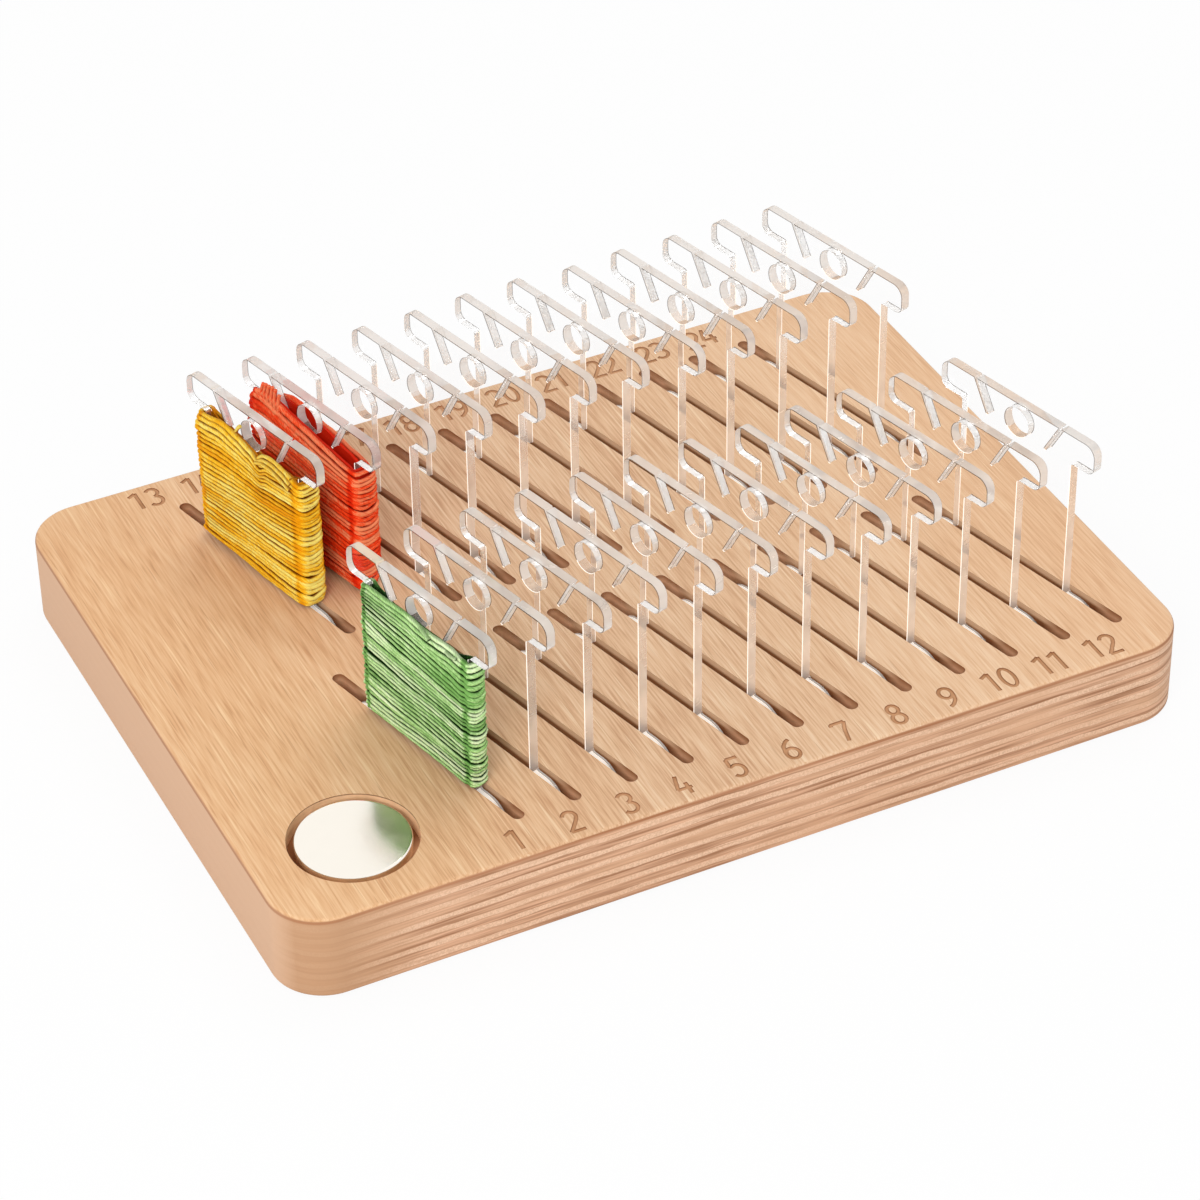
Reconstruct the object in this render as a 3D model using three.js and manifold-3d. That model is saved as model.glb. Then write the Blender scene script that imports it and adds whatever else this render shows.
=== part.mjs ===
// Embroidery bobbin organizer: a plywood board with two rows of slanting slots, a clear flat
// bobbin standing in each slot, floss wound on three of them, and a magnet disc for needles.
// Millimetres, +Z up. The origin is on the underside, below the middle of the board.
// X runs along the board. Slots 1 to 12 lie along its front edge, at -Y, and 13 to 24 behind.

import * as THREE from 'three';
import { mergeVertices } from 'three/addons/utils/BufferGeometryUtils.js';
import Module from 'manifold-3d';

// Plywood board
const boardLength = 179;
const boardDepth = 131;
const boardThickness = 17.6;
const boardCornerRadius = 10;
const boardEdgeRound = 0.9;

// Slots, in a front row and a back row, turned from the board's short direction
const slotsPerRow = 12;
const firstSlotInset = 41.2;
const lastSlotInset = 16.8;
const rowInset = 35;
const rowStagger = 5.3;
const slotAngle = 14.5;
const slotEndClearance = 4.9;
const slotSideClearance = 0.2;
const slotFloorClearance = 0.3;

// Clear bobbin, cut from flat sheet
const bobbinThickness = 2;
const footLength = 43;
const footHeight = 7.8;
const footShoulderRadius = 5;
const footBelowTop = 1.3;
const footCornerRadius = 2;
const bodyWidth = 28;
const bodyHeight = 29.9;
const headLength = 39.2;
const headHeight = 6.1;
const headTopRadius = 2.4;
const headLipRadius = 1.8;
const neckFillet = 0.6;
const holeDiameter = 6;
const holeBelowTop = 4.3;
const slitMouthSpread = 21.7;
const slitEndSpread = 14.7;
const slitDepth = 6.4;
const slitWidth = 0.5;

// Floss windings: inner layers as a plain core, under one outer layer of turns
const flossDiameter = 0.62;
const flossTurns = 20;
const coreBodyClearance = 0.12;
const coreCornerRadius = 1.1;
const coreTurnClearance = 0.1;
const windingGapBelow = 0.4;
const windingGapAbove = 0.4;
const windings = [
  { slot: 1, coreWall: 0.4, colour: 0x6cb85c },
  { slot: 13, coreWall: 1.0, colour: 0xf2b321 },
  { slot: 14, coreWall: 1.2, colour: 0xe0452a },
];

// Needle magnet, glued into a round recess near the front left corner
const magnetDiameter = 20.8;
const magnetThickness = 3;
const magnetEdgeRound = 0.4;
const magnetFromLeft = 19.6;
const magnetFromFront = 18;
const recessSideClearance = 1.3;
const recessFloorClearance = 0.3;

// Facets: how far a chord of an arc may stand off the true curve, and the sides of round pieces
const arcTolerance = 0.08;
const magnetSides = 36;
const holeSides = 12;
const flossSides = 6;
const flossCornerSteps = 2;

// Straight stretch left, each way, between two corners that round off into one half circle
const cornerSlack = 0.001;

// Places that follow from the sizes
const slotPitch = (boardLength - firstSlotInset - lastSlotInset) / (slotsPerRow - 1);
const rowSpacing = boardDepth - 2 * rowInset;
const slotLength = footLength + 2 * slotEndClearance;
const slotDepth = footBelowTop + footHeight + slotFloorClearance;
const slotWidth = bobbinThickness + 2 * slotSideClearance;
const bobbinFootZ = boardThickness - footBelowTop - footHeight;
const windingBottom = footHeight + footBelowTop + windingGapBelow;
const neckZ = footHeight + bodyHeight;
const windingTop = neckZ - windingGapAbove;
const bobbinHeight = neckZ + headHeight;
const slotTurn = THREE.MathUtils.degToRad(slotAngle - 90);

const wasm = await Module();
wasm.setup();

// Turns a closed geometry into a solid that can be cut
function solidFrom(geometry) {
  geometry.deleteAttribute('normal');
  geometry.deleteAttribute('uv');
  const merged = mergeVertices(geometry, 1e-4);
  return new wasm.Manifold(new wasm.Mesh({
    numProp: 3,
    vertProperties: new Float32Array(merged.attributes.position.array),
    triVerts: new Uint32Array(merged.index.array),
  }));
}

// Turns a solid back into a geometry
function geometryFrom(solid) {
  const mesh = solid.getMesh();
  const geometry = new THREE.BufferGeometry();
  geometry.setAttribute('position', new THREE.BufferAttribute(mesh.vertProperties, 3));
  geometry.setIndex(new THREE.BufferAttribute(mesh.triVerts, 1));
  geometry.computeVertexNormals();
  return geometry;
}

// Points of a closed outline from corners [x, y, radius], each rounded corner as an arc
function roundedOutline(corners) {
  const points = [];
  corners.forEach(([x, y, radius], index) => {
    const corner = new THREE.Vector2(x, y);
    if (radius === 0) {
      points.push(corner);
      return;
    }
    const before = corners[(index + corners.length - 1) % corners.length];
    const after = corners[(index + 1) % corners.length];
    const toBefore = new THREE.Vector2(before[0] - x, before[1] - y).normalize();
    const toAfter = new THREE.Vector2(after[0] - x, after[1] - y).normalize();
    const halfAngle = Math.acos(THREE.MathUtils.clamp(toBefore.dot(toAfter), -1, 1)) / 2;
    const inward = toBefore.clone().add(toAfter).normalize();
    const centre = corner.clone().addScaledVector(inward, radius / Math.sin(halfAngle));
    const start = corner.clone().addScaledVector(toBefore, radius / Math.tan(halfAngle));
    const turn = Math.PI - 2 * halfAngle;
    const bend = Math.sign(toAfter.cross(toBefore));
    const chordTurn = 2 * Math.acos(Math.max(0, 1 - arcTolerance / radius));
    const steps = Math.max(1, Math.round(turn / chordTurn));
    for (let step = 0; step <= steps; step += 1) {
      points.push(start.clone().rotateAround(centre, (bend * turn * step) / steps));
    }
  });
  return points;
}

function rectangleCorners(length, width, radius) {
  return [
    [length / 2, -width / 2, radius],
    [length / 2, width / 2, radius],
    [-length / 2, width / 2, radius],
    [-length / 2, -width / 2, radius],
  ];
}

// A plate along +Z from z = 0, of an outline in X and Y
function plate(shape, thickness) {
  return new THREE.ExtrudeGeometry(shape, { depth: thickness, bevelEnabled: false });
}

// Middle of a slot on the board, counted from 1 in the front row, then on along the back row
function slotCentre(number) {
  const row = Math.floor((number - 1) / slotsPerRow);
  const fromRight = slotsPerRow - 1 - ((number - 1) % slotsPerRow);
  const x = boardLength / 2 - lastSlotInset - fromRight * slotPitch - row * rowStagger;
  return new THREE.Vector2(x, (row - 0.5) * rowSpacing);
}

function slotNumbers() {
  return Array.from({ length: 2 * slotsPerRow }, (_, index) => index + 1);
}

function magnetCentre() {
  return new THREE.Vector2(magnetFromLeft - boardLength / 2, magnetFromFront - boardDepth / 2);
}

// Board with eased edges, blind slots for the bobbins and a recess for the magnet
function boardGeometry() {
  const corners = rectangleCorners(boardLength, boardDepth, boardCornerRadius);
  const blank = new THREE.ExtrudeGeometry(new THREE.Shape(roundedOutline(corners)), {
    depth: boardThickness - 2 * boardEdgeRound,
    bevelThickness: boardEdgeRound,
    bevelSize: boardEdgeRound,
    bevelOffset: -boardEdgeRound,
    bevelSegments: 2,
  });
  blank.translate(0, 0, boardEdgeRound);
  let board = solidFrom(blank);

  const overshoot = 1;
  const slotCorners = rectangleCorners(slotLength, slotWidth, slotWidth / 2 - cornerSlack);
  const slotShape = new THREE.Shape(roundedOutline(slotCorners));
  for (const number of slotNumbers()) {
    const cutter = plate(slotShape, slotDepth + overshoot);
    cutter.rotateZ(slotTurn);
    const centre = slotCentre(number);
    cutter.translate(centre.x, centre.y, boardThickness - slotDepth);
    board = board.subtract(solidFrom(cutter));
  }

  const recessRadius = magnetDiameter / 2 + recessSideClearance;
  const recessDepth = magnetThickness + recessFloorClearance;
  const recess = new THREE.CylinderGeometry(
    recessRadius,
    recessRadius,
    recessDepth + overshoot,
    magnetSides,
  );
  recess.rotateX(Math.PI / 2);
  const centre = magnetCentre();
  recess.translate(centre.x, centre.y, boardThickness - recessDepth + (recessDepth + overshoot) / 2);
  board = board.subtract(solidFrom(recess));
  return geometryFrom(board);
}

// Flat disc with rounded rims, standing on z = 0
function magnetGeometry() {
  const radius = magnetDiameter / 2;
  const profile = [new THREE.Vector2(0, 0)];
  const rimCorners = [
    [0, magnetThickness, 0],
    [0, 0, 0],
    [radius, 0, magnetEdgeRound],
    [radius, magnetThickness, magnetEdgeRound],
  ];
  for (const point of roundedOutline(rimCorners)) {
    if (point.x > 0) {
      profile.push(point);
    }
  }
  profile.push(new THREE.Vector2(0, magnetThickness));
  const disc = new THREE.LatheGeometry(profile, magnetSides);
  disc.rotateX(Math.PI / 2);
  return geometryFrom(solidFrom(disc));
}

// Corners of the thread slit on the +X side, from its mouth in the top edge and back out
function slitCorners() {
  const mouth = new THREE.Vector2(slitMouthSpread / 2, bobbinHeight);
  const end = new THREE.Vector2(slitEndSpread / 2, bobbinHeight - slitDepth);
  const along = end.clone().sub(mouth).normalize();
  const across = new THREE.Vector2(-along.y, along.x).multiplyScalar(slitWidth / 2);
  const mouthHalf = slitWidth / 2 / Math.abs(along.y);
  const endRadius = slitWidth / 2 - cornerSlack;
  return [
    [mouth.x + mouthHalf, mouth.y, 0],
    [end.x + across.x, end.y + across.y, endRadius],
    [end.x - across.x, end.y - across.y, endRadius],
    [mouth.x - mouthHalf, mouth.y, 0],
  ];
}

// Bobbin outline in X and Y: foot, waist-like body, and a head with two slits and a hole.
// The right half runs up from the foot, and the left half mirrors it back down.
function bobbinShape() {
  const right = [
    [footLength / 2, 0, footCornerRadius],
    [footLength / 2, footHeight, footShoulderRadius],
    [bodyWidth / 2, footHeight, neckFillet],
    [bodyWidth / 2, neckZ, neckFillet],
    [headLength / 2, neckZ, headLipRadius],
    [headLength / 2, bobbinHeight, headTopRadius],
    ...slitCorners(),
  ];
  const left = right.map(([x, y, radius]) => [-x, y, radius]).reverse();
  const shape = new THREE.Shape(roundedOutline([...right, ...left]));
  const hole = new THREE.Path();
  for (let side = 0; side < holeSides; side += 1) {
    const angle = (2 * Math.PI * side) / holeSides;
    const x = (holeDiameter / 2) * Math.cos(angle);
    const y = bobbinHeight - holeBelowTop + (holeDiameter / 2) * Math.sin(angle);
    if (side === 0) {
      hole.moveTo(x, y);
    } else {
      hole.lineTo(x, y);
    }
  }
  hole.closePath();
  shape.holes.push(hole);
  return shape;
}

// Bobbin upright in its own frame: X along the slot to the front, foot on z = 0
function bobbinGeometry() {
  const geometry = plate(bobbinShape(), bobbinThickness);
  geometry.translate(0, 0, -bobbinThickness / 2);
  geometry.rotateX(Math.PI / 2);
  return geometryFrom(solidFrom(geometry));
}

// Inner layers of floss: a sleeve round the bobbin's body, open for the body to pass through
function coreGeometry(coreWall) {
  const innerLength = bodyWidth + 2 * coreBodyClearance;
  const innerWidth = bobbinThickness + 2 * coreBodyClearance;
  const outer = rectangleCorners(
    innerLength + 2 * coreWall,
    innerWidth + 2 * coreWall,
    Math.min(coreCornerRadius, coreWall + coreBodyClearance),
  );
  const shape = new THREE.Shape(roundedOutline(outer));
  const inner = rectangleCorners(innerLength, innerWidth, 0);
  shape.holes.push(new THREE.Path(roundedOutline(inner)));
  const sleeve = plate(shape, windingTop - windingBottom);
  sleeve.translate(0, 0, windingBottom);
  return geometryFrom(solidFrom(sleeve));
}

// Centre line of the outer layer: one thread that climbs steadily round the core
function turnsPath(coreWall) {
  const reach = coreWall + coreBodyClearance + coreTurnClearance + flossDiameter / 2;
  const cornerReach = Math.min(coreCornerRadius, coreWall + coreBodyClearance);
  const bendRadius = cornerReach + coreTurnClearance + flossDiameter / 2;
  const straightX = bodyWidth / 2 + reach - bendRadius;
  const straightY = bobbinThickness / 2 + reach - bendRadius;
  const chordRadius = bendRadius / Math.cos(Math.PI / 4 / flossCornerSteps);
  const loop = [];
  const bends = [[1, -1], [1, 1], [-1, 1], [-1, -1]];
  bends.forEach(([sideX, sideY], index) => {
    for (let step = 0; step <= flossCornerSteps; step += 1) {
      const angle = (Math.PI / 2) * (index - 1 + step / flossCornerSteps);
      loop.push(new THREE.Vector2(
        sideX * straightX + chordRadius * Math.cos(angle),
        sideY * straightY + chordRadius * Math.sin(angle),
      ));
    }
  });

  // The thread starts and ends on the middle of a broad side, so both ends lie straight
  const startPoint = new THREE.Vector2(0, loop[0].y);
  const round = [startPoint, ...loop, startPoint];
  const travelled = [0];
  for (let index = 1; index < round.length; index += 1) {
    travelled.push(travelled[index - 1] + round[index].distanceTo(round[index - 1]));
  }
  const lowest = windingBottom + flossDiameter / 2;
  const highest = windingTop - flossDiameter / 2;
  const pitch = (highest - lowest) / flossTurns;
  const path = [];
  for (let turn = 0; turn < flossTurns; turn += 1) {
    for (let index = turn === 0 ? 0 : 1; index < round.length; index += 1) {
      const isSeam = index === round.length - 1 && turn < flossTurns - 1;
      if (!isSeam) {
        const climbed = turn + travelled[index] / travelled[round.length - 1];
        path.push(new THREE.Vector3(round[index].x, round[index].y, lowest + pitch * climbed));
      }
    }
  }
  return path;
}

// Least distance between the surfaces of neighbouring turns, on points along the centre line
function leastTurnGap(path) {
  const samples = [];
  const parts = 4;
  let travelled = 0;
  for (let index = 1; index < path.length; index += 1) {
    const length = path[index].distanceTo(path[index - 1]);
    for (let part = 0; part < parts; part += 1) {
      samples.push({
        point: path[index - 1].clone().lerp(path[index], part / parts),
        along: travelled + (length * part) / parts,
      });
    }
    travelled += length;
  }
  const nearAlong = travelled / flossTurns / 2;
  let least = Infinity;
  samples.forEach((sample, index) => {
    for (let other = index + 1; other < samples.length; other += 1) {
      if (samples[other].along - sample.along > nearAlong) {
        least = Math.min(least, sample.point.distanceTo(samples[other].point));
      }
    }
  });
  return least - flossDiameter;
}

// A tube along a path that runs nearly level, mitred where it bends, with flat ends
function levelTube(path, diameter, sides) {
  const positions = [];
  const up = new THREE.Vector3(0, 0, 1);
  path.forEach((point, index) => {
    const before = path[Math.max(index - 1, 0)];
    const after = path[Math.min(index + 1, path.length - 1)];
    const arriving = point.clone().sub(before).normalize();
    const leaving = after.clone().sub(point).normalize();
    const forward = arriving.clone().add(leaving).normalize();
    const cosHalfBend = index === 0 || index === path.length - 1 ? 1 : forward.dot(leaving);
    const outward = forward.clone().cross(up).normalize();
    const upright = outward.clone().cross(forward).normalize();
    for (let side = 0; side < sides; side += 1) {
      const angle = (2 * Math.PI * side) / sides;
      const ring = point.clone();
      ring.addScaledVector(outward, ((diameter / 2) * Math.cos(angle)) / cosHalfBend);
      ring.addScaledVector(upright, (diameter / 2) * Math.sin(angle));
      positions.push(ring.x, ring.y, ring.z);
    }
  });
  const faces = [];
  for (let index = 0; index < path.length - 1; index += 1) {
    for (let side = 0; side < sides; side += 1) {
      const here = index * sides + side;
      const beside = index * sides + ((side + 1) % sides);
      faces.push(here, here + sides, beside);
      faces.push(beside, here + sides, beside + sides);
    }
  }
  const lastRing = (path.length - 1) * sides;
  for (let side = 1; side < sides - 1; side += 1) {
    faces.push(0, side, side + 1);
    faces.push(lastRing, lastRing + side + 1, lastRing + side);
  }
  const geometry = new THREE.BufferGeometry();
  geometry.setAttribute('position', new THREE.Float32BufferAttribute(positions, 3));
  geometry.setIndex(faces);
  geometry.computeVertexNormals();
  return geometry;
}

function plywood() {
  return new THREE.MeshStandardMaterial({ color: 0xe3b88c, roughness: 0.62, metalness: 0 });
}

function clearAcrylic() {
  return new THREE.MeshStandardMaterial({
    color: 0xf4f6f7,
    roughness: 0.08,
    metalness: 0,
    transparent: true,
    opacity: 0.35,
  });
}

function polishedNickel() {
  return new THREE.MeshStandardMaterial({ color: 0xd8d6cf, roughness: 0.08, metalness: 1 });
}

function cottonFloss(colour) {
  return new THREE.MeshStandardMaterial({ color: colour, roughness: 0.75, metalness: 0 });
}

function named(name, geometry, material) {
  const mesh = new THREE.Mesh(geometry, material);
  mesh.name = name;
  return mesh;
}

function twoDigits(number) {
  return String(number).padStart(2, '0');
}

// How far each bobbin has been pushed along its slot from the middle, towards the front
const bobbinShifts = [
  0.2, 0.2, 0, -0.5, -0.6, -0.9, -0.8, -0.1, -1.2, -1.5, -1.6, -1.3,
  -0.2, -0.1, -0.2, 0.2, -0.2, -0.9, -1.1, -0.2, -1.1, -0.9, -1.5, -1.3,
];

const group = new THREE.Group();
group.add(named('board', boardGeometry(), plywood()));

const magnet = named('magnet_disc', magnetGeometry(), polishedNickel());
magnet.position.set(magnetCentre().x, magnetCentre().y, boardThickness - magnetThickness);
group.add(magnet);

for (const number of slotNumbers()) {
  const label = twoDigits(number);
  const seat = new THREE.Group();
  const centre = slotCentre(number);
  seat.position.set(centre.x, centre.y, bobbinFootZ);
  seat.rotation.z = slotTurn;
  seat.translateX(bobbinShifts[number - 1] ?? 0);
  seat.add(named(`bobbin_${label}`, bobbinGeometry(), clearAcrylic()));
  for (const { slot, coreWall, colour } of windings) {
    if (slot === number) {
      const path = turnsPath(coreWall);
      seat.add(named(`floss_core_${label}`, coreGeometry(coreWall), cottonFloss(colour)));
      const turns = levelTube(path, flossDiameter, flossSides);
      seat.add(named(`floss_turns_${label}`, turns, cottonFloss(colour)));
      console.log(`floss_turns_${label}: least gap between turns ${leastTurnGap(path).toFixed(2)} mm`);
    }
  }
  group.add(seat);
}

export default group;
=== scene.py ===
import math

import bmesh
import bpy
from mathutils import Matrix, Vector, noise
from mathutils.geometry import tessellate_polygon


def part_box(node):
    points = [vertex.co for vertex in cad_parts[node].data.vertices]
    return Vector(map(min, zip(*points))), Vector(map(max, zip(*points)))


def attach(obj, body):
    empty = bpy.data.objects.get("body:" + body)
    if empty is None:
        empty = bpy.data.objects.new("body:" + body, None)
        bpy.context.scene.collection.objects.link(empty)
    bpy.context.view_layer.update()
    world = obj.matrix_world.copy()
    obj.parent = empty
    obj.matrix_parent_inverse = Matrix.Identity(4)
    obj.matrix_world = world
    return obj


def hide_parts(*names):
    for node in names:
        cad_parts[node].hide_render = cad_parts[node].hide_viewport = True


# Embroidery bobbin organizer. Sizes in the dictionaries are millimetres, meshes are metres.
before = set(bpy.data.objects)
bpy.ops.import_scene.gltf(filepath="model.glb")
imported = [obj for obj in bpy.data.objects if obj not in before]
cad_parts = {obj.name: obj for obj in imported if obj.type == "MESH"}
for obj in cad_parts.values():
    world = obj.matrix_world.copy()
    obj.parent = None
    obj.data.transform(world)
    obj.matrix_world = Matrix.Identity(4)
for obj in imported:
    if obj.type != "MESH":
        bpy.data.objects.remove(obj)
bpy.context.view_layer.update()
scene = bpy.context.scene
mm = 0.001


def linear(level):
    # a level as seen on a screen, 0 to 255, made linear
    share = level / 255
    return ((share + 0.055) / 1.055) ** 2.4 if level > 10 else share / 12.92


def tone(colour, shift=0):
    # a screen colour, made lighter or darker by the shift, as Blender takes it
    return tuple(linear(level + shift) for level in colour) + (1.0,)


def feed(tree, socket, value):
    # a node's first output, a socket or a plain value goes into the socket
    if isinstance(value, bpy.types.Node):
        value = value.outputs[0]
    if isinstance(value, bpy.types.NodeSocket):
        tree.links.new(value, socket)
    else:
        socket.default_value = value


def feedAll(tree, node, inputs):
    for key, value in inputs.items():
        feed(tree, node.inputs[key], value)


def addNode(tree, kind, inputs=None, **settings):
    node = tree.nodes.new(kind)
    for key, value in settings.items():
        setattr(node, key, value)
    feedAll(tree, node, inputs or {})
    return node


def calc(tree, operation, first, second=0.0, third=0.0):
    return addNode(tree, "ShaderNodeMath", {0: first, 1: second, 2: third}, operation=operation).outputs[0]


def weighted(tree, *parts):
    # the sum of (value, share) pairs
    total = 0.0
    for value, share in parts:
        total = calc(tree, "MULTIPLY_ADD", value, share, total)
    return total


def remap(tree, value, start, end, low, high):
    # low up to start, high from end on, and in between in proportion
    return addNode(tree, "ShaderNodeMapRange", {0: value, 1: start, 2: end, 3: low, 4: high}).outputs[0]


def mixColour(tree, factor, first, second, blend="MIX"):
    node = addNode(tree, "ShaderNodeMix", {"Factor": factor}, data_type="RGBA", blend_type=blend)
    feed(tree, node.inputs[6], first)  # its colour sockets
    feed(tree, node.inputs[7], second)
    return node.outputs[2]


def tinted(tree, colour, marks, start, end, share, tint, blend="MIX"):
    # none of the tint up to start, and that share of it where the marks reach end
    return mixColour(tree, remap(tree, marks, start, end, 0.0, share), colour, tone(tint), blend)


def colourRamp(tree, factor, stops):
    # stops are (place from 0 to 1, colour), in rising order
    ramp = addNode(tree, "ShaderNodeValToRGB", {0: factor})
    elements = ramp.color_ramp.elements
    while len(elements) < len(stops):
        elements.new(0.5)
    for element, (place, colour) in zip(elements, stops):
        element.position = place
        element.color = colour
    return ramp.outputs[0]


def stretchedNoise(tree, place, scale, stretch=(1, 1, 1), detail=3.0, distortion=0.0):
    # noise drawn out along the axes where stretch is small
    drawn = addNode(tree, "ShaderNodeVectorMath", {0: place, 1: stretch}, operation="MULTIPLY")
    node = addNode(tree, "ShaderNodeTexNoise", {
        "Vector": drawn, "Scale": scale, "Detail": detail, "Distortion": distortion})
    return node.outputs["Fac"]


def addBump(tree, shader, height, distance, strength=1.0):
    bump = addNode(tree, "ShaderNodeBump", {"Height": height, "Distance": distance, "Strength": strength})
    feed(tree, shader.inputs["Normal"], bump)


def startMaterial(name):
    material = bpy.data.materials.new(name)
    material.use_nodes = True
    tree = material.node_tree
    place = addNode(tree, "ShaderNodeTexCoord").outputs["Object"]
    return material, tree, tree.nodes["Principled BSDF"], place


def newTree(name, inputs):
    # a Geometry Nodes tree with named inputs after its geometry
    tree = bpy.data.node_groups.new(name, "GeometryNodeTree")
    tree.interface.new_socket("Geometry", in_out="INPUT", socket_type="NodeSocketGeometry")
    for label, kind in inputs.items():
        tree.interface.new_socket(label, in_out="INPUT", socket_type="NodeSocket" + kind)
    tree.interface.new_socket("Geometry", in_out="OUTPUT", socket_type="NodeSocketGeometry")
    return tree, tree.nodes.new("NodeGroupInput").outputs


def endTree(tree, geometry, material):
    # real mesh with its material at the end of a tree
    real = addNode(tree, "GeometryNodeRealizeInstances", {0: geometry})
    dressed = addNode(tree, "GeometryNodeSetMaterial", {"Geometry": real, "Material": material})
    addNode(tree, "NodeGroupOutput", {0: dressed})
    return tree


def growMesh(host, tree, values, name):
    # runs the tree on the host with these input values, and keeps the result as a plain mesh
    modifier = host.modifiers.new("grow", "NODES")
    modifier.node_group = tree
    for item in tree.interface.items_tree:
        if item.in_out == "INPUT" and item.name in values:
            modifier[item.identifier] = values[item.name]
    graph = bpy.context.evaluated_depsgraph_get()
    mesh = bpy.data.meshes.new_from_object(host.evaluated_get(graph))
    host.modifiers.clear()
    bpy.data.objects.remove(host)
    mesh.name = name
    return mesh


def placeObject(name, mesh):
    piece = bpy.data.objects.new(name, mesh)
    scene.collection.objects.link(piece)
    return piece


def finishMesh(mesh, name):
    data = bpy.data.meshes.new(name)
    mesh.to_mesh(data)
    mesh.free()
    return data


def weldMesh(data):
    mesh = bmesh.new()
    mesh.from_mesh(data)
    bmesh.ops.remove_doubles(mesh, verts=mesh.verts, dist=1e-6)
    bmesh.ops.recalc_face_normals(mesh, faces=mesh.faces)
    mesh.to_mesh(data)
    mesh.free()
    return data


def cutWith(piece, cutters):
    # cuts one after the other, kept as a plain mesh
    for cutter in cutters:
        modifier = piece.modifiers.new("cut", "BOOLEAN")
        modifier.operation = "DIFFERENCE"
        modifier.solver = "MANIFOLD"
        modifier.object = cutter
    graph = bpy.context.evaluated_depsgraph_get()
    mesh = bpy.data.meshes.new_from_object(piece.evaluated_get(graph))
    piece.modifiers.clear()
    piece.data = mesh
    for cutter in cutters:
        bpy.data.objects.remove(cutter)


def roundedPath(corners, stepAngle=9.0):
    # closed outline from corners (x, y, radius), each rounded corner as an arc of short chords
    points = []
    for index, (x, y, radius) in enumerate(corners):
        corner = Vector((x, y))
        if radius == 0:
            points.append(corner)
            continue
        toBefore = (Vector(corners[index - 1][:2]) - corner).normalized()
        toAfter = (Vector(corners[(index + 1) % len(corners)][:2]) - corner).normalized()
        halfAngle = math.acos(max(-1, min(1, toBefore.dot(toAfter)))) / 2
        centre = corner + (toBefore + toAfter).normalized() * (radius / math.sin(halfAngle))
        start = corner + toBefore * (radius / math.tan(halfAngle)) - centre
        turn = math.pi - 2 * halfAngle
        bend = math.copysign(1, toAfter.cross(toBefore))
        steps = max(2, round(math.degrees(turn) / stepAngle))
        for step in range(steps + 1):
            points.append(centre + start @ Matrix.Rotation(-bend * turn * step / steps, 2))
    return points


def insetPath(points, inset):
    # the same closed outline, counterclockwise, moved inwards
    moved = []
    for index, point in enumerate(points):
        before = (point - points[index - 1]).normalized()
        after = (points[(index + 1) % len(points)] - point).normalized()
        inward = Vector((-before.y - after.y, before.x + after.x)).normalized()
        cosine = max(0.5, inward.dot(Vector((-before.y, before.x))))
        moved.append(point + inward * (inset / cosine))
    return moved


def addRing(mesh, spots):
    # vertices at spots in millimetres
    return [mesh.verts.new((x * mm, y * mm, z * mm)) for x, y, z in spots]


def bridgeRings(mesh, rings):
    # quads between each ring of vertices and the next
    faces = []
    for lower, upper in zip(rings, rings[1:]):
        for index in range(len(lower)):
            after = (index + 1) % len(lower)
            faces.append(mesh.faces.new((lower[index], lower[after], upper[after], upper[index])))
    return faces


# Camera at the photograph's angle
cameraValues = {
    "lens": 130.233,
    "azimuth": -25.564,
    "elevation": 37.847,
    "distance": 829.487,
    "roll": -0.958,
    "target": (7.254, 13.486, 0.0),
    "sensorWidth": 36,
    "farClip": 20,  # metres
}


def makeCamera(values):
    azimuth, elevation, roll = (math.radians(values[key]) for key in ("azimuth", "elevation", "roll"))
    level = math.cos(elevation)
    back = Vector((math.sin(azimuth) * level, -math.cos(azimuth) * level, math.sin(elevation)))
    right = Vector((0, 0, 1)).cross(back).normalized()
    up = back.cross(right)
    turnedRight = right * math.cos(roll) + up * math.sin(roll)
    turnedUp = up * math.cos(roll) - right * math.sin(roll)
    camera = bpy.data.objects.new("camera", bpy.data.cameras.new("camera"))
    camera.data.lens = values["lens"]
    camera.data.sensor_width = values["sensorWidth"]
    camera.data.clip_end = values["farClip"]
    scene.collection.objects.link(camera)
    place = Matrix.Translation((Vector(values["target"]) + back * values["distance"]) * mm)
    camera.matrix_world = place @ Matrix((turnedRight, turnedUp, back)).transposed().to_4x4()
    scene.camera = camera


makeCamera(cameraValues)
print("camera placed")


# Wood of the board: face veneer, plies at the edges, slot walls and burnt numbers
woodValues = {
    "veneerDark": (200, 151, 113),
    "veneerMiddle": (227, 187, 149),
    "veneerLight": (242, 211, 178),
    "pore": (176, 124, 84),
    "fleck": (250, 224, 190),
    # painted shade towards the left end and painted light towards the right
    "leftPaintedShade": (255, 236, 205),
    "rightPaintedLight": (246, 194, 146),
    "plyLight": (236, 196, 164),
    "plyDark": (194, 146, 112),
    "plyFaded": (222, 176, 140),
    "plyStreak": (176, 126, 92),
    "glueLine": (172, 122, 88),
    # painted shade on the rounded left corner and painted light on the left end face
    "cornerPaintedShade": (194, 149, 112),
    "leftEndPaintedLight": (224, 183, 150),
    # slot and recess walls painted lighter against their shade; the slot rim singed and painted shade
    "slotWallPaintedLight": (226, 178, 138),
    # painted shade in the slots where bobbins stand
    "slotPaintedShade": (158, 104, 66),
    "slotRimSingeAndShade": (164, 110, 74),
    "recessWallPaintedLight": (248, 204, 160),
    "recessRim": (116, 70, 42),
    "burn": (196, 146, 106),
    "burnRim": (140, 90, 56),
    "singed": (168, 110, 72),
    "singedDepth": 0.62,  # under the top face
    "slotRimShadeDepth": 1.5,
    "burnRimDepth": 0.25,
    "recessRimDepth": 0.3,
    "bobbinShadeHalf": (18, 21.5),  # from the middle line of a row, where the painted shade under the bobbins ends
    "veneerDepth": (1.5, 0.9),
    "plies": 13,
}

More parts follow.
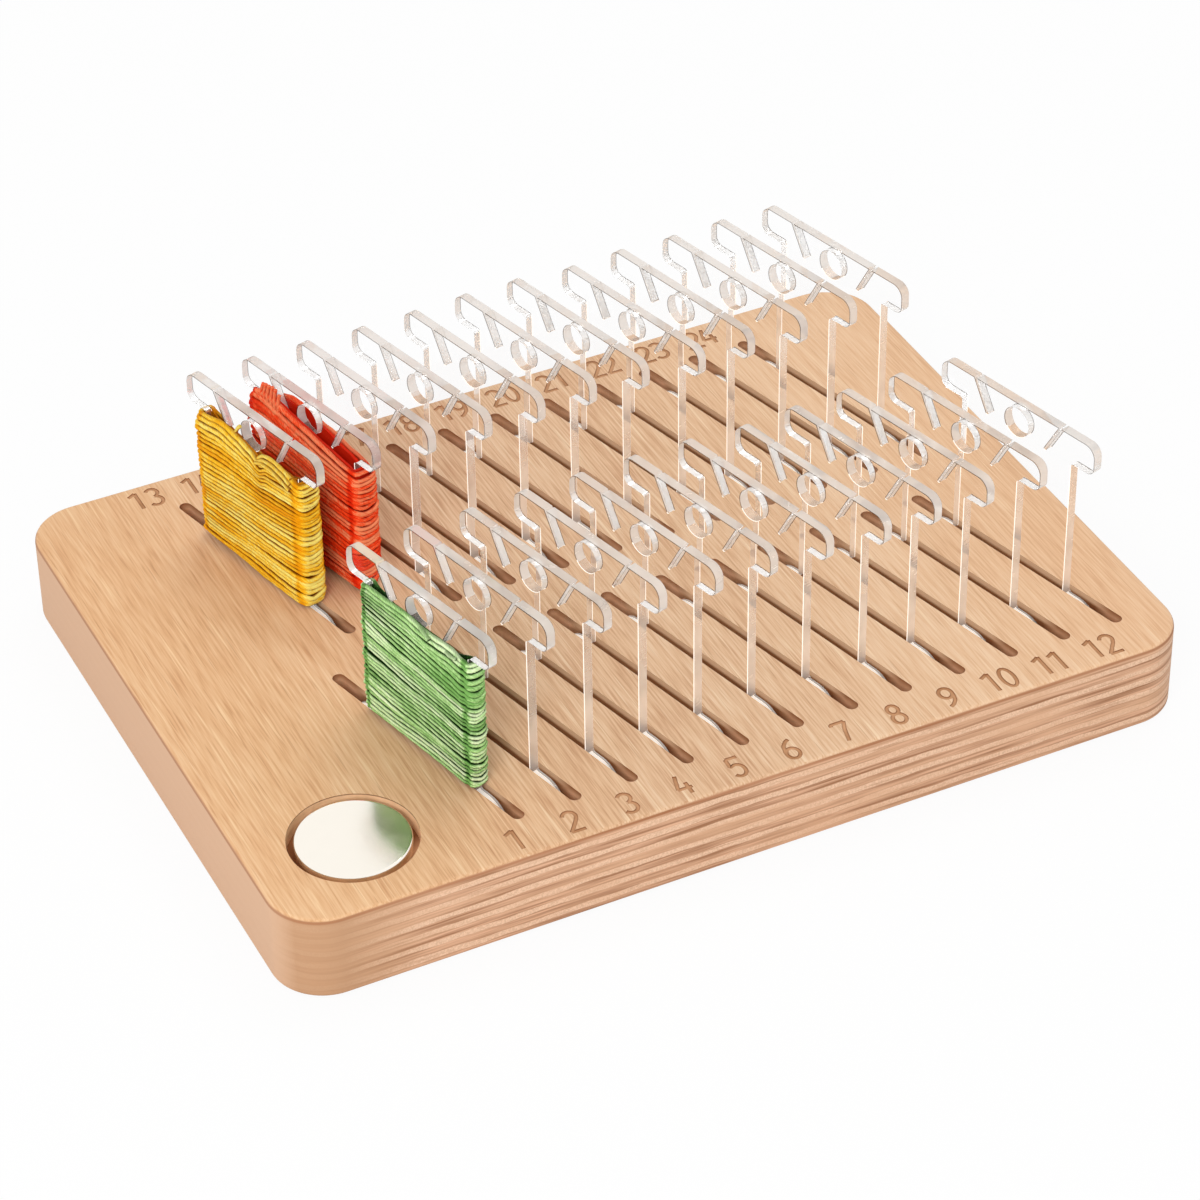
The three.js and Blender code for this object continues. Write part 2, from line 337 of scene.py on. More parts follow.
# Board: rounded plate with eased edges, cut with slots, a recess and the slot numbers
boardValues = {
    "length": 179,
    "depth": 131,
    "thickness": 17.6,
    "cornerRadius": 10,
    "edgeRound": 0.9,
    "edgeSteps": 5,
    "columns": 12,
    "slotPitch": 11.0,
    "rowSpacing": 61,
    "rowStagger": 5.3,
    "lastSlotInset": 16.8,
    "slotAngle": 14.5,
    "slotLength": 52.8,
    "slotWidth": 2.4,
    "slotDepth": 9.4,
    "recessRadius": 11.7,
    "recessDepth": 3.3,
    "recessCentre": (-69.9, -47.5),
}
slotTurn = math.radians(boardValues["slotAngle"] - 90)
boardTop = boardValues["thickness"]


def singedLine(tree, colour, height, values):
    # where the cutter singed the wood, just under the face veneer
    middle = (boardTop - values["singedDepth"]) * mm
    away = calc(tree, "ABSOLUTE", calc(tree, "SUBTRACT", height, middle))
    return mixColour(tree, remap(tree, away, 0.00012, 0.0004, 0.7, 0.0), colour, tone(values["singed"]))


def veneerMaterial(values):
    material, tree, shader, place = startMaterial("boardVeneer")
    broad = stretchedNoise(tree, place, 30.0, (1, 0.2, 1), 3, 0.8)
    bands = stretchedNoise(tree, place, 330.0, (1, 0.025, 1), 3, 0.3)
    fibre = stretchedNoise(tree, place, 2600.0, (1, 0.04, 1), 3)
    mixed = weighted(tree, (broad, 0.3), (bands, 0.1), (fibre, 0.6))
    stops = ((0.33, "veneerDark"), (0.5, "veneerMiddle"), (0.7, "veneerLight"))
    colour = colourRamp(tree, mixed, [(stop, tone(values[name])) for stop, name in stops])
    # short dark pores and pale flecks along the grain
    pores = stretchedNoise(tree, place, 3000.0, (1, 0.03, 1), 1)
    colour = tinted(tree, colour, pores, 0.64, 0.74, 0.4, values["pore"])
    flecks = stretchedNoise(tree, place, 1300.0, (1, 0.03, 1), 2)
    colour = tinted(tree, colour, flecks, 0.63, 0.7, 0.55, values["fleck"])
    # painted shade, warmer and darker, towards the left end near the windings, and painted light, lighter and
    # more orange, towards the right among the bobbins
    axes = addNode(tree, "ShaderNodeSeparateXYZ", {0: place}).outputs
    colour = tinted(tree, colour, axes["X"], -0.015, -0.075, 0.6, values["leftPaintedShade"], "MULTIPLY")
    colour = tinted(tree, colour, axes["X"], 0.01, 0.08, 0.32, values["rightPaintedLight"])
    colour = singedLine(tree, colour, axes["Z"], values)
    feedAll(tree, shader, {"Base Color": colour, "Roughness": 0.55, "Specular IOR Level": 0.35})
    addBump(tree, shader, fibre, 0.00005, 0.7)
    return material


def plyMaterial(values):
    material, tree, shader, place = startMaterial("boardPlies")
    axes = addNode(tree, "ShaderNodeSeparateXYZ", {0: place}).outputs
    # plies of uneven thickness that wander a little along the edge
    wander = stretchedNoise(tree, place, 45.0, (1, 1, 3.0), 3, 0.4)
    ripple = stretchedNoise(tree, place, 520.0, (0.3, 0.3, 1), 4)
    layer = calc(tree, "MULTIPLY", axes["Z"], values["plies"] / (boardTop * mm))
    layer = calc(tree, "MULTIPLY_ADD", wander, 0.9, layer)
    layer = calc(tree, "MULTIPLY_ADD", ripple, 0.5, calc(tree, "SUBTRACT", layer, 0.7))
    wave = calc(tree, "SINE", calc(tree, "MULTIPLY", layer, math.pi))
    crossLayer = remap(tree, wave, -0.45, -0.1, 0.0, 1.0)
    along = stretchedNoise(tree, place, 1500.0, (0.03, 0.03, 1), 4)
    ends = stretchedNoise(tree, place, 3200.0, (1, 1, 1), 2)
    slow = stretchedNoise(tree, place, 110.0, (0.35, 0.35, 4), 3)
    speckle = remap(tree, ends, 0.38, 0.62, 0.0, 1.0)
    grain = remap(tree, along, 0.36, 0.64, 0.0, 1.0)
    light = mixColour(tree, speckle, tone(values["plyLight"], -16), tone(values["plyLight"], 4))
    dark = mixColour(tree, grain, tone(values["plyDark"], -34), tone(values["plyDark"], 34))
    colour = mixColour(tree, crossLayer, light, dark)
    colour = tinted(tree, colour, slow, 0.45, 0.7, 0.75, values["plyFaded"])
    # thin dark streaks and glue lines
    streaks = stretchedNoise(tree, place, 1250.0, (0.05, 0.05, 1), 2)
    colour = tinted(tree, colour, streaks, 0.6, 0.72, 0.55, values["plyStreak"])
    edge = calc(tree, "ABSOLUTE", calc(tree, "SUBTRACT", calc(tree, "FRACT", layer), 0.5))
    colour = tinted(tree, colour, edge, 0.43, 0.5, 0.3, values["glueLine"])
    # painted shade on the rounded left corner, where the side lamp falls hardest, and painted light on the
    # left end face; the layers show only faintly there
    colour = tinted(tree, colour, axes["X"], -0.064, -0.08, 0.88, values["cornerPaintedShade"])
    colour = tinted(tree, colour, axes["X"], -0.0872, -0.0894, 0.8, values["leftEndPaintedLight"])
    colour = singedLine(tree, colour, axes["Z"], values)
    feedAll(tree, shader, {"Base Color": colour, "Roughness": 0.65, "Specular IOR Level": 0.3})
    addBump(tree, shader, weighted(tree, (along, 0.5), (ends, 0.5)), 0.00008, 0.8)
    return material


def cutWoodMaterial(name, wall, rim, rimDepth, values):
    # wood darker at the rim of the cut: browned by the cutter on the numbers, browned and painted shade on
    # the slots; slot and recess walls are painted lighter below the rim against their shade
    material, tree, shader, place = startMaterial(name)
    streak = stretchedNoise(tree, place, 900.0, (0.25, 0.25, 1), 3)
    patch = stretchedNoise(tree, place, 240.0, (1, 1, 1), 2)
    mixed = weighted(tree, (streak, 0.55), (patch, 0.45))
    colour = colourRamp(tree, mixed, [(0.34, tone(wall, -18)), (0.66, tone(wall, 16))])
    axes = addNode(tree, "ShaderNodeSeparateXYZ", {0: place}).outputs
    start, end = (boardTop - rimDepth) * mm, (boardTop - rimDepth * 0.2) * mm
    # darker at the rim, with painted shade on the slots
    colour = tinted(tree, colour, axes["Z"], start, end, 1.0, rim)
    if name == "slotWood":
        # painted shade where bobbins stand, in the middle of each row of slots, under the face veneer
        fromMiddle = calc(tree, "ABSOLUTE", axes["Y"])
        fromRow = calc(tree, "SUBTRACT", fromMiddle, boardValues["rowSpacing"] / 2 * mm)
        near, far = values["bobbinShadeHalf"]
        inside = remap(tree, calc(tree, "ABSOLUTE", fromRow), near * mm, far * mm, 1.0, 0.0)
        low, high = values["veneerDepth"]
        veneer = remap(tree, axes["Z"], (boardTop - low) * mm, (boardTop - high) * mm, 0.0, 1.0)
        shadedMiddle = mixColour(tree, veneer, tone(values["slotPaintedShade"]), tone(values["veneerMiddle"]))
        colour = mixColour(tree, inside, colour, shadedMiddle)
    feedAll(tree, shader, {"Base Color": colour, "Roughness": 0.75, "Specular IOR Level": 0.2})
    addBump(tree, shader, streak, 0.00008, 0.6)
    return material


def boardBlank(values):
    mesh = bmesh.new()
    x, y, radius = values["length"] / 2, values["depth"] / 2, values["cornerRadius"]
    outline = roundedPath([(x, -y, radius), (x, y, radius), (-x, y, radius), (-x, -y, radius)], 5)
    easing, steps = values["edgeRound"], values["edgeSteps"]
    angles = [math.pi / 2 * step / steps for step in range(steps + 1)]
    levels = [(easing - easing * math.sin(a), easing - easing * math.cos(a)) for a in angles]
    levels += [(inset, values["thickness"] - height) for inset, height in reversed(levels)]
    rings = []
    for inset, height in levels:
        rings.append(addRing(mesh, [(p.x, p.y, height) for p in insetPath(outline, inset)]))
    bridgeRings(mesh, rings)
    mesh.faces.new(list(reversed(rings[0])))
    mesh.faces.new(rings[-1])
    bmesh.ops.recalc_face_normals(mesh, faces=mesh.faces)
    return finishMesh(mesh, "board")


def slotTree():
    # a round-ended bar at each slot of two rows
    tree, take = newTree("slotRows", {
        "Columns": "Int", "Pitch": "Float", "Row Spacing": "Float", "Row Stagger": "Float", "Last X": "Float",
        "Length": "Float", "Width": "Float", "Floor": "Float", "Top": "Float", "Turn": "Float",
        "Material": "Material"})
    rows = addNode(tree, "GeometryNodeJoinGeometry")
    step = addNode(tree, "ShaderNodeCombineXYZ", {"X": calc(tree, "MULTIPLY", take["Pitch"], -1.0)})
    backX = calc(tree, "SUBTRACT", take["Last X"], take["Row Stagger"])
    for side, x in ((-0.5, take["Last X"]), (0.5, backX)):
        y = calc(tree, "MULTIPLY", take["Row Spacing"], side)
        start = addNode(tree, "ShaderNodeCombineXYZ", {"X": x, "Y": y})
        line = addNode(tree, "GeometryNodeMeshLine", {
            "Count": take["Columns"], "Start Location": start.outputs[0], "Offset": step}, mode="OFFSET")
        feed(tree, rows.inputs[0], line)
    low = addNode(tree, "ShaderNodeCombineXYZ", {"Z": take["Floor"]})
    high = addNode(tree, "ShaderNodeCombineXYZ", {"Z": take["Top"]})
    upright = addNode(tree, "GeometryNodeCurvePrimitiveLine", {"Start": low, "End": high})
    oblong = addNode(tree, "GeometryNodeCurvePrimitiveQuadrilateral", {
        "Width": take["Length"], "Height": take["Width"]})
    roundEnd = addNode(tree, "GeometryNodeFilletCurve", {
        "Curve": oblong, "Count": 12, "Radius": calc(tree, "MULTIPLY", take["Width"], 0.499)}, mode="POLY")
    bar = addNode(tree, "GeometryNodeCurveToMesh", {
        "Curve": upright, "Profile Curve": roundEnd, "Fill Caps": True})
    turn = addNode(tree, "ShaderNodeCombineXYZ", {"Z": take["Turn"]})
    placed = addNode(tree, "GeometryNodeInstanceOnPoints", {
        "Points": rows, "Instance": bar, "Rotation": turn})
    return endTree(tree, placed, take["Material"])


def slotCutter(values):
    top = values["thickness"]
    host = placeObject("slotHost", bpy.data.meshes.new("slotHost"))
    data = growMesh(host, slotTree(), {
        "Columns": values["columns"],
        "Pitch": values["slotPitch"] * mm,
        "Row Spacing": values["rowSpacing"] * mm,
        "Row Stagger": values["rowStagger"] * mm,
        "Last X": (values["length"] / 2 - values["lastSlotInset"]) * mm,
        "Length": values["slotLength"] * mm,
        "Width": values["slotWidth"] * mm,
        "Floor": (top - values["slotDepth"]) * mm,
        "Top": (top + 1) * mm,
        "Turn": slotTurn,
    }, "slotBars")
    return placeObject("slotBars", weldMesh(data))


def recessCutter(values):
    mesh = bmesh.new()
    x, y = values["recessCentre"]
    low = values["thickness"] - values["recessDepth"]
    high = values["thickness"] + 1
    radius = values["recessRadius"] * mm
    place = Matrix.Translation((x * mm, y * mm, (low + high) / 2 * mm))
    bmesh.ops.create_cone(mesh, cap_ends=True, segments=96, radius1=radius, radius2=radius,
                          depth=(high - low) * mm, matrix=place)
    return placeObject("recessCutter", finishMesh(mesh, "recess"))


# Slot numbers, as strokes on a plate 6 mm high with x to the right
numberValues = {
    "grooveRadius": 0.42,
    "grooveLift": 0.1,
    "frontFirst": (-45.0, -60.8),
    "frontStep": 10.69,
    "backFirst": (-67.3, 60.6),
    "backStep": 10.87,
    "frontHalf": 1.6,
    "backAdvance": 3.25,
    "reachY": (56, 64.5),  # every number lies between these, on either side of the middle
    "reachX": 80,
    "reachDepth": 0.45,
}


def arcStroke(x, y, radiusX, radiusY, start, end):
    steps = max(8, round(abs(end - start) / 15))
    angles = [math.radians(start + (end - start) * step / steps) for step in range(steps + 1)]
    return [(x + radiusX * math.cos(a), y + radiusY * math.sin(a)) for a in angles]


digitStrokes = {
    "0": [arcStroke(0, 0, 1.2, 2.65, 90, 450)],
    "1": [[(0.15, -2.65), (0.15, 2.65)], [(0.15, 2.6), (-0.6, 2.15), (-1.4, 1.75)]],
    "2": [
        arcStroke(0, 1.35, 1.2, 1.3, 165, -25) + [(0.7, 0.0), (-1.3, -2.6)],
        [(-1.35, -2.65), (1.4, -2.65)]],
    "3": [arcStroke(-0.05, 1.4, 1.15, 1.25, 150, -85), arcStroke(-0.05, -1.25, 1.3, 1.4, 85, -150)],
    "4": [[(-0.3, 2.65), (-1.3, -1.0)], [(-1.35, -1.0), (1.45, -1.0)], [(0.7, 0.4), (0.7, -2.65)]],
    "5": [
        [(1.2, 2.6), (-0.95, 2.6)],
        [(-0.95, 2.6), (-1.1, 0.35)] + arcStroke(-0.05, -0.95, 1.25, 1.65, 125, -145)],
    "6": [
        [(0.9, 2.6), (0.1, 2.2), (-0.75, 1.2), (-1.15, -0.3), (-1.2, -1.1)],
        arcStroke(0, -1.15, 1.2, 1.45, 180, 540)],
    "7": [[(-1.35, 2.0), (-1.35, 2.6), (1.35, 2.6)], [(1.35, 2.6), (0.55, 0.6), (-0.25, -2.65)]],
    "8": [arcStroke(0, 1.35, 1.0, 1.25, 90, 450), arcStroke(0, -1.25, 1.2, 1.4, 90, 450)],
    "9": [
        arcStroke(0, 1.15, 1.2, 1.45, 0, 360),
        [(1.2, 1.1), (1.1, 0.0), (0.75, -1.2), (-0.1, -2.2), (-0.9, -2.6)]],
}


def numberSpots(values, columns):
    # (digit, x, y) of every engraved digit
    for number in range(1, 2 * columns + 1):
        digits = str(number)
        if number <= columns:
            x, y = values["frontFirst"]
            x += (number - 1) * values["frontStep"]
            places = [x] if len(digits) == 1 else [x - values["frontHalf"], x + values["frontHalf"]]
        else:
            x, y = values["backFirst"]
            x += (number - columns - 1) * values["backStep"]
            places = [x, x + values["backAdvance"]]
        for digit, placeX in zip(digits, places):
            yield digit, placeX, y


def pathHost(name, paths, attributes=None):
    # edges through each path's points, closed where the path says so
    vertices, edges = [], []
    for points, closed in paths:
        first = len(vertices)
        vertices += [Vector(p) * mm for p in points]
        edges += [(first + k, first + k + 1) for k in range(len(points) - 1)]
        if closed:
            edges.append((len(vertices) - 1, first))
    data = bpy.data.meshes.new(name)
    data.from_pydata(vertices, edges, [])
    for label, values in (attributes or {}).items():
        data.attributes.new(label, "FLOAT", "POINT").data.foreach_set("value", values)
    return placeObject(name, data)


def grooveTree():
    # a round cutter along each stroke
    tree, take = newTree("engravedStrokes", {"Radius": "Float", "Sides": "Int", "Material": "Material"})
    line = addNode(tree, "GeometryNodeMeshToCurve", {0: take[0]})
    fine = addNode(tree, "GeometryNodeResampleCurve", {"Curve": line, "Length": 0.0004}, mode="LENGTH")
    circle = addNode(tree, "GeometryNodeCurvePrimitiveCircle", {
        "Resolution": take["Sides"], "Radius": take["Radius"]})
    groove = addNode(tree, "GeometryNodeCurveToMesh", {
        "Curve": fine, "Profile Curve": circle, "Fill Caps": True})
    return endTree(tree, groove, take["Material"])


def numberCutters(values, board):
    # strokes of a digit that touch go into separate cutters, cut one after the other
    tree, height = grooveTree(), board["thickness"] + values["grooveLift"]
    inputs = {"Radius": values["grooveRadius"] * mm, "Sides": 10}
    cutters = []
    for layer in range(max(len(strokes) for strokes in digitStrokes.values())):
        paths = []
        for digit, x, y in numberSpots(values, board["columns"]):
            strokes = digitStrokes[digit]
            if layer < len(strokes):
                points = [(x + px, y + py, height) for px, py in strokes[layer]]
                closed = (Vector(points[0]) - Vector(points[-1])).length < 0.01
                paths.append((points[:-1] if closed else points, closed))
        host = pathHost("numberStrokes%d" % layer, paths)
        data = growMesh(host, tree, inputs, "numberCutter%d" % layer)
        cutters.append(placeObject("numberCutter%d" % layer, weldMesh(data)))
    return cutters


veneerZone, plyZone, slotZone, numberZone, recessZone = range(5)


def zoneOf(face, values):
    # which finish a face of the board takes
    centre, top = face.center / mm, values["thickness"]
    if centre.z > top - 0.001 or centre.z < 0.001:
        return veneerZone
    nearY, farY = numberValues["reachY"]
    inNumbers = nearY < abs(centre.y) < farY and abs(centre.x) < numberValues["reachX"]
    if inNumbers and centre.z > top - numberValues["reachDepth"]:
        return numberZone
    if abs((centre.xy - Vector(values["recessCentre"])).length - values["recessRadius"]) < 0.2:
        return recessZone
    reachX, reachY = values["length"] / 2 - abs(centre.x), values["depth"] / 2 - abs(centre.y)
    radius = values["cornerRadius"]
    if reachX < radius and reachY < radius:
        fromEdge = radius - Vector((radius - reachX, radius - reachY)).length
    else:
        fromEdge = min(reachX, reachY)
    if fromEdge > values["edgeRound"] + 0.02:
        return slotZone
    return veneerZone if centre.z > top - values["edgeRound"] * 0.5 else plyZone


def makeBoard(values, wood):
    piece = placeObject("plywoodBoard", boardBlank(values))
    cutWith(piece, [slotCutter(values), recessCutter(values)] + numberCutters(numberValues, values))
    data = piece.data
    data.materials.clear()
    data.materials.append(veneerMaterial(wood))
    data.materials.append(plyMaterial(wood))
    for name, wall, rim, depth in (("slotWood", "slotWallPaintedLight", "slotRimSingeAndShade", "slotRimShadeDepth"),
                                   ("burntNumber", "burn", "burnRim", "burnRimDepth"),
                                   ("recessWood", "recessWallPaintedLight", "recessRim", "recessRimDepth")):
        data.materials.append(cutWoodMaterial(name, wood[wall], wood[rim], wood[depth], wood))
    for face in data.polygons:
        face.material_index = zoneOf(face, values)
        face.use_smooth = abs(face.normal.z) < 0.9999
    data.set_sharp_from_angle(angle=math.radians(40))
    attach(piece, "organizer_board")
    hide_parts("board")
    return piece


board = makeBoard(boardValues, woodValues)
print("board made:", len(board.data.polygons), "faces")


# Needle magnet
magnetValues = {
    "diameter": 20.8,
    "thickness": 3,
    "edgeRound": 0.55,
    "sides": 128,
    "colour": (255, 249, 238),
    "roughness": 0.15,
}


def nickelMaterial(values):
    material, tree, shader, place = startMaterial("polishedNickel")
    haze = stretchedNoise(tree, place, 400.0, (1, 1, 1), 4)
    rough = remap(tree, haze, 0.3, 0.7, values["roughness"] * 0.85, values["roughness"] * 1.15)
    colour = mixColour(tree, haze, tone(values["colour"], -4), tone(values["colour"]))
    feedAll(tree, shader, {"Base Color": colour, "Roughness": rough, "Metallic": 1.0})
    addBump(tree, shader, haze, 0.000003, 0.1)
    return material


def magnetProfile(values):
    # (radius, height) up the rounded rim, from the lower face to the upper
    radius, rim, top = values["diameter"] / 2, values["edgeRound"], values["thickness"]
    angles = [math.pi / 12 * k for k in range(7)]
    profile = [(radius - rim, 0.0)]
    profile += [(radius - rim + rim * math.sin(a), rim - rim * math.cos(a)) for a in angles[1:]]
    profile += [(radius - rim + rim * math.cos(a), top - rim + rim * math.sin(a)) for a in angles]
    return profile


def makeMagnet(values):
    low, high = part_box("magnet_disc")
    centre = (low + high) / 2
    mesh = bmesh.new()
    rings = []
    for reach, height in magnetProfile(values):
        ring = []
        for side in range(values["sides"]):
            angle = 2 * math.pi * side / values["sides"]
            x = centre.x + reach * mm * math.cos(angle)
            y = centre.y + reach * mm * math.sin(angle)
            ring.append(mesh.verts.new((x, y, low.z + height * mm)))
        rings.append(ring)
    bridgeRings(mesh, rings)
    flat = [mesh.faces.new(list(reversed(rings[0]))), mesh.faces.new(rings[-1])]
    bmesh.ops.recalc_face_normals(mesh, faces=mesh.faces)
    for face in mesh.faces:
        face.smooth = face not in flat
    data = finishMesh(mesh, "needleMagnet")
    data.materials.append(nickelMaterial(values))
    piece = placeObject("needleMagnet", data)
    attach(piece, "organizer_board")
    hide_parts("magnet_disc")


makeMagnet(magnetValues)
print("magnet made")


# Clear bobbins, cut from 2 mm sheet
bobbinValues = {
    "thickness": 2,
    "footLength": 43,
    "footHeight": 7.8,
    "footCorner": 2,
    "footShoulder": 5,
    "bodyWidth": 28,
    "bodyHeight": 29.9,
    "neckFillet": 0.6,
    "headLength": 39.2,
    "headHeight": 6.1,
    "headTop": 2.4,
    "headLip": 1.8,
    "hole": 6,
    "holeDrop": 4.3,
    "slitMouth": 21.7,
    "slitEnd": 14.7,
    "slitDepth": 6.4,
    "slitWidth": 0.5,
    "edgeBreak": 0.1,
    "footPaintedGleam": 0.45,  # from the near face to this y, counted from the middle, the foot's top edge gets a painted gleam
    "hazeHeights": (18, 44),  # the haze of sawn edges thins out between these
    "hazeClouds": 1.2,
}
sawnEdge = {"ior": 1.49, "roughness": 0.2}
# ior: low on the faces, which hardly show in the photograph. straight: share of light that passes unbent.
# shade: colour of what passes. haze: share of scatter, low down and at the top. tint: colour of the haze.
# painted glow: light the edge gives off itself, in place of light piped through the sheet.
clearFinishes = {
    "clearSheet": {"ior": 1.12, "roughness": 0.0, "straight": 0.0, "shade": (0.998, 0.998, 0.998)},
    "sawnBodyEdge": {
        **sawnEdge, "straight": 0.42, "shade": (0.95, 0.92, 0.9),
        "haze": (0.95, 0.3), "tint": (255, 242, 228), "paintedGlow": 0.06},
    "sawnHeadEdge": {
        **sawnEdge, "straight": 0.25, "shade": (0.88, 0.87, 0.86),
        "haze": (0.9, 0.8), "tint": (248, 243, 237), "paintedGlow": 0.03},
    # painted gleam: a white edge with a strong painted glow
    "paintedGleamEdge": {
        **sawnEdge, "straight": 0.0, "shade": (0.98, 0.98, 0.98),
        "haze": (1.0, 1.0), "tint": (255, 248, 238), "paintedGlow": 0.4},
    "sawnUnderside": {
        **sawnEdge, "straight": 0.1, "shade": (0.98, 0.98, 0.98),
        "haze": (0.4, 0.4), "tint": (255, 252, 248), "paintedGlow": 0.0},
    # painted dark outlines on the head's bevelled edges, in place of their shade
    "paintedDarkOutline": {
        **sawnEdge, "straight": 0.75, "shade": (0.28, 0.25, 0.23),
        "haze": (0.3, 0.3), "tint": (140, 126, 116), "paintedGlow": 0.0},
}


def hazyEdge(tree, shader, place, finish):
    # saw marks run across the edge, and the haze thins out upwards
    marks = stretchedNoise(tree, place, 900.0, (0.4, 0.4, 1), 3)
    rough = remap(tree, marks, 0.3, 0.7, finish["roughness"] * 0.5, finish["roughness"] * 1.5)
    feed(tree, shader.inputs["Roughness"], rough)
    addBump(tree, shader, marks, 0.00001, 0.15)
    height = addNode(tree, "ShaderNodeSeparateXYZ", {0: place}).outputs["Z"]
    low, high = finish["haze"]
    start, end = bobbinValues["hazeHeights"]
    haze = remap(tree, height, start * mm, end * mm, low, high)
    clouds = calc(tree, "SUBTRACT", stretchedNoise(tree, place, 160.0, (0.6, 0.6, 1), 1), 0.5)
    haze = calc(tree, "MULTIPLY_ADD", clouds, bobbinValues["hazeClouds"] if low < 1 else 0.0, haze)
    # haze is lit from the front and from inside the sheet
    tint = tone(finish["tint"])
    front = addNode(tree, "ShaderNodeBsdfDiffuse", {"Color": tint})
    inside = addNode(tree, "ShaderNodeBsdfTranslucent", {"Color": tint})
    scatter = addNode(tree, "ShaderNodeMixShader", {0: 0.25, 1: front, 2: inside})
    # painted glow: the edge gives off light of its own
    paintedGlow = addNode(tree, "ShaderNodeEmission", {"Color": tint, "Strength": finish["paintedGlow"]})
    scatter = addNode(tree, "ShaderNodeAddShader", {0: scatter, 1: paintedGlow})
    return addNode(tree, "ShaderNodeMixShader", {0: haze, 1: shader, 2: scatter})


def clearMaterial(name, finish):
    # real refraction to the eye, plain see-through for light that falls on what is behind
    material, tree, shader, place = startMaterial(name)
    feedAll(tree, shader, {
        "IOR": finish["ior"], "Base Color": (1, 1, 1, 1), "Roughness": 0.0, "Transmission Weight": 1.0})
    surface = hazyEdge(tree, shader, place, finish) if finish["roughness"] > 0 else shader
    path = addNode(tree, "ShaderNodeLightPath").outputs
    passing = calc(tree, "MAXIMUM", path["Is Shadow Ray"], path["Is Diffuse Ray"])
    passing = calc(tree, "MAXIMUM", passing, finish["straight"])
    through = addNode(tree, "ShaderNodeBsdfTransparent", {"Color": finish["shade"] + (1.0,)})
    mixed = addNode(tree, "ShaderNodeMixShader", {0: passing, 1: surface, 2: through})
    feed(tree, tree.nodes["Material Output"].inputs["Surface"], mixed)
    return material


def bobbinOutline(values):
    # closed outline, counterclockwise, and the centre of the hole
    neck = values["footHeight"] + values["bodyHeight"]
    top = neck + values["headHeight"]
    mouth = Vector((values["slitMouth"] / 2, top))
    end = Vector((values["slitEnd"] / 2, top - values["slitDepth"]))
    along = (end - mouth).normalized()
    half = values["slitWidth"] / 2
    across = Vector((-along.y, along.x)) * half
    mouthHalf = half / abs(along.y)
    right = [
        (values["footLength"] / 2, 0, values["footCorner"]),
        (values["footLength"] / 2, values["footHeight"], values["footShoulder"]),
        (values["bodyWidth"] / 2, values["footHeight"], values["neckFillet"]),
        (values["bodyWidth"] / 2, neck, values["neckFillet"]),
        (values["headLength"] / 2, neck, values["headLip"]),
        (values["headLength"] / 2, top, values["headTop"]),
        (mouth.x + mouthHalf, mouth.y, 0),
        (end.x + across.x, end.y + across.y, half - 0.002),
        (end.x - across.x, end.y - across.y, half - 0.002),
        (mouth.x - mouthHalf, mouth.y, 0),
    ]
    left = [(-x, y, radius) for x, y, radius in reversed(right)]
    return roundedPath(right + left, 10), Vector((0, top - values["holeDrop"]))


def edgeFinish(face, broken, values):
    # by height: foot, body or head; a painted gleam on the near part of the foot's top and on the body's
    # broken edges, painted dark outlines on the head's broken edges
    centre = face.calc_center_median()
    height = centre.z / mm
    if height < values["footHeight"] + 0.2:
        return "paintedGleamEdge" if centre.y / mm < values["footPaintedGleam"] else "sawnUnderside"
    if height < values["footHeight"] + values["bodyHeight"] - 0.2:
        return "paintedGleamEdge" if broken else "sawnBodyEdge"
    if broken:
        return "paintedDarkOutline"
    return "sawnUnderside" if face.normal.z < -0.3 else "sawnHeadEdge"


def sheetMesh(values):
    # x along the slot, y through the sheet, z up, foot on z = 0
    outline, holeCentre = bobbinOutline(values)
    radius, half, edge = values["hole"] / 2, values["thickness"] / 2, values["edgeBreak"]
    angles = [2 * math.pi * side / 48 for side in range(48)]
    mesh = bmesh.new()
    levels = [(edge, -half), (0, -half + edge), (0, values["footPaintedGleam"]), (0, half - edge), (edge, half)]
    outerRings, holeRings = [], []
    for inset, y in levels:
        outerRings.append(addRing(mesh, [(p.x, y, p.y) for p in insetPath(outline, inset)]))
        reach = radius + inset
        rim = [(holeCentre.x + reach * math.cos(a), y, holeCentre.y + reach * math.sin(a)) for a in angles]
        holeRings.append(addRing(mesh, rim))
    rims = bridgeRings(mesh, outerRings) + bridgeRings(mesh, holeRings)
    for level in (0, -1):
        loops = [outerRings[level], holeRings[level]]
        flatLoops = [[Vector((v.co.x, v.co.z, 0)) / mm for v in loop] for loop in loops]
        corners = loops[0] + loops[1]
        for triangle in tessellate_polygon(flatLoops):
            mesh.faces.new([corners[index] for index in triangle])
    bmesh.ops.recalc_face_normals(mesh, faces=mesh.faces)
    order = list(clearFinishes)
    for face in rims:
        broken = abs(face.calc_center_median().y) / mm > half - edge
        face.material_index = order.index(edgeFinish(face, broken, values))
        face.smooth = True
    data = finishMesh(mesh, "clearBobbin")
    for name, finish in clearFinishes.items():
        data.materials.append(clearMaterial(name, finish))
    data.set_sharp_from_angle(angle=math.radians(35))
    return data


def bobbinPlace(number):
    # turned along its slot, where the CAD bobbin stands
    low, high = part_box("bobbin_%02d" % number)
    foot = Matrix.Translation(((low.x + high.x) / 2, (low.y + high.y) / 2, low.z))
    return foot @ Matrix.Rotation(slotTurn, 4, "Z")


def makeBobbins(values):
    pattern = sheetMesh(values)
    for number in range(1, 2 * boardValues["columns"] + 1):
        data = pattern.copy()
        data.transform(bobbinPlace(number))
        piece = placeObject("clearBobbin%02d" % number, data)
        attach(piece, "numbered_bobbin_%02d" % number)
        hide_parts("bobbin_%02d" % number)
    return len(pattern.polygons)


print("bobbins made:", makeBobbins(bobbinValues), "faces each")


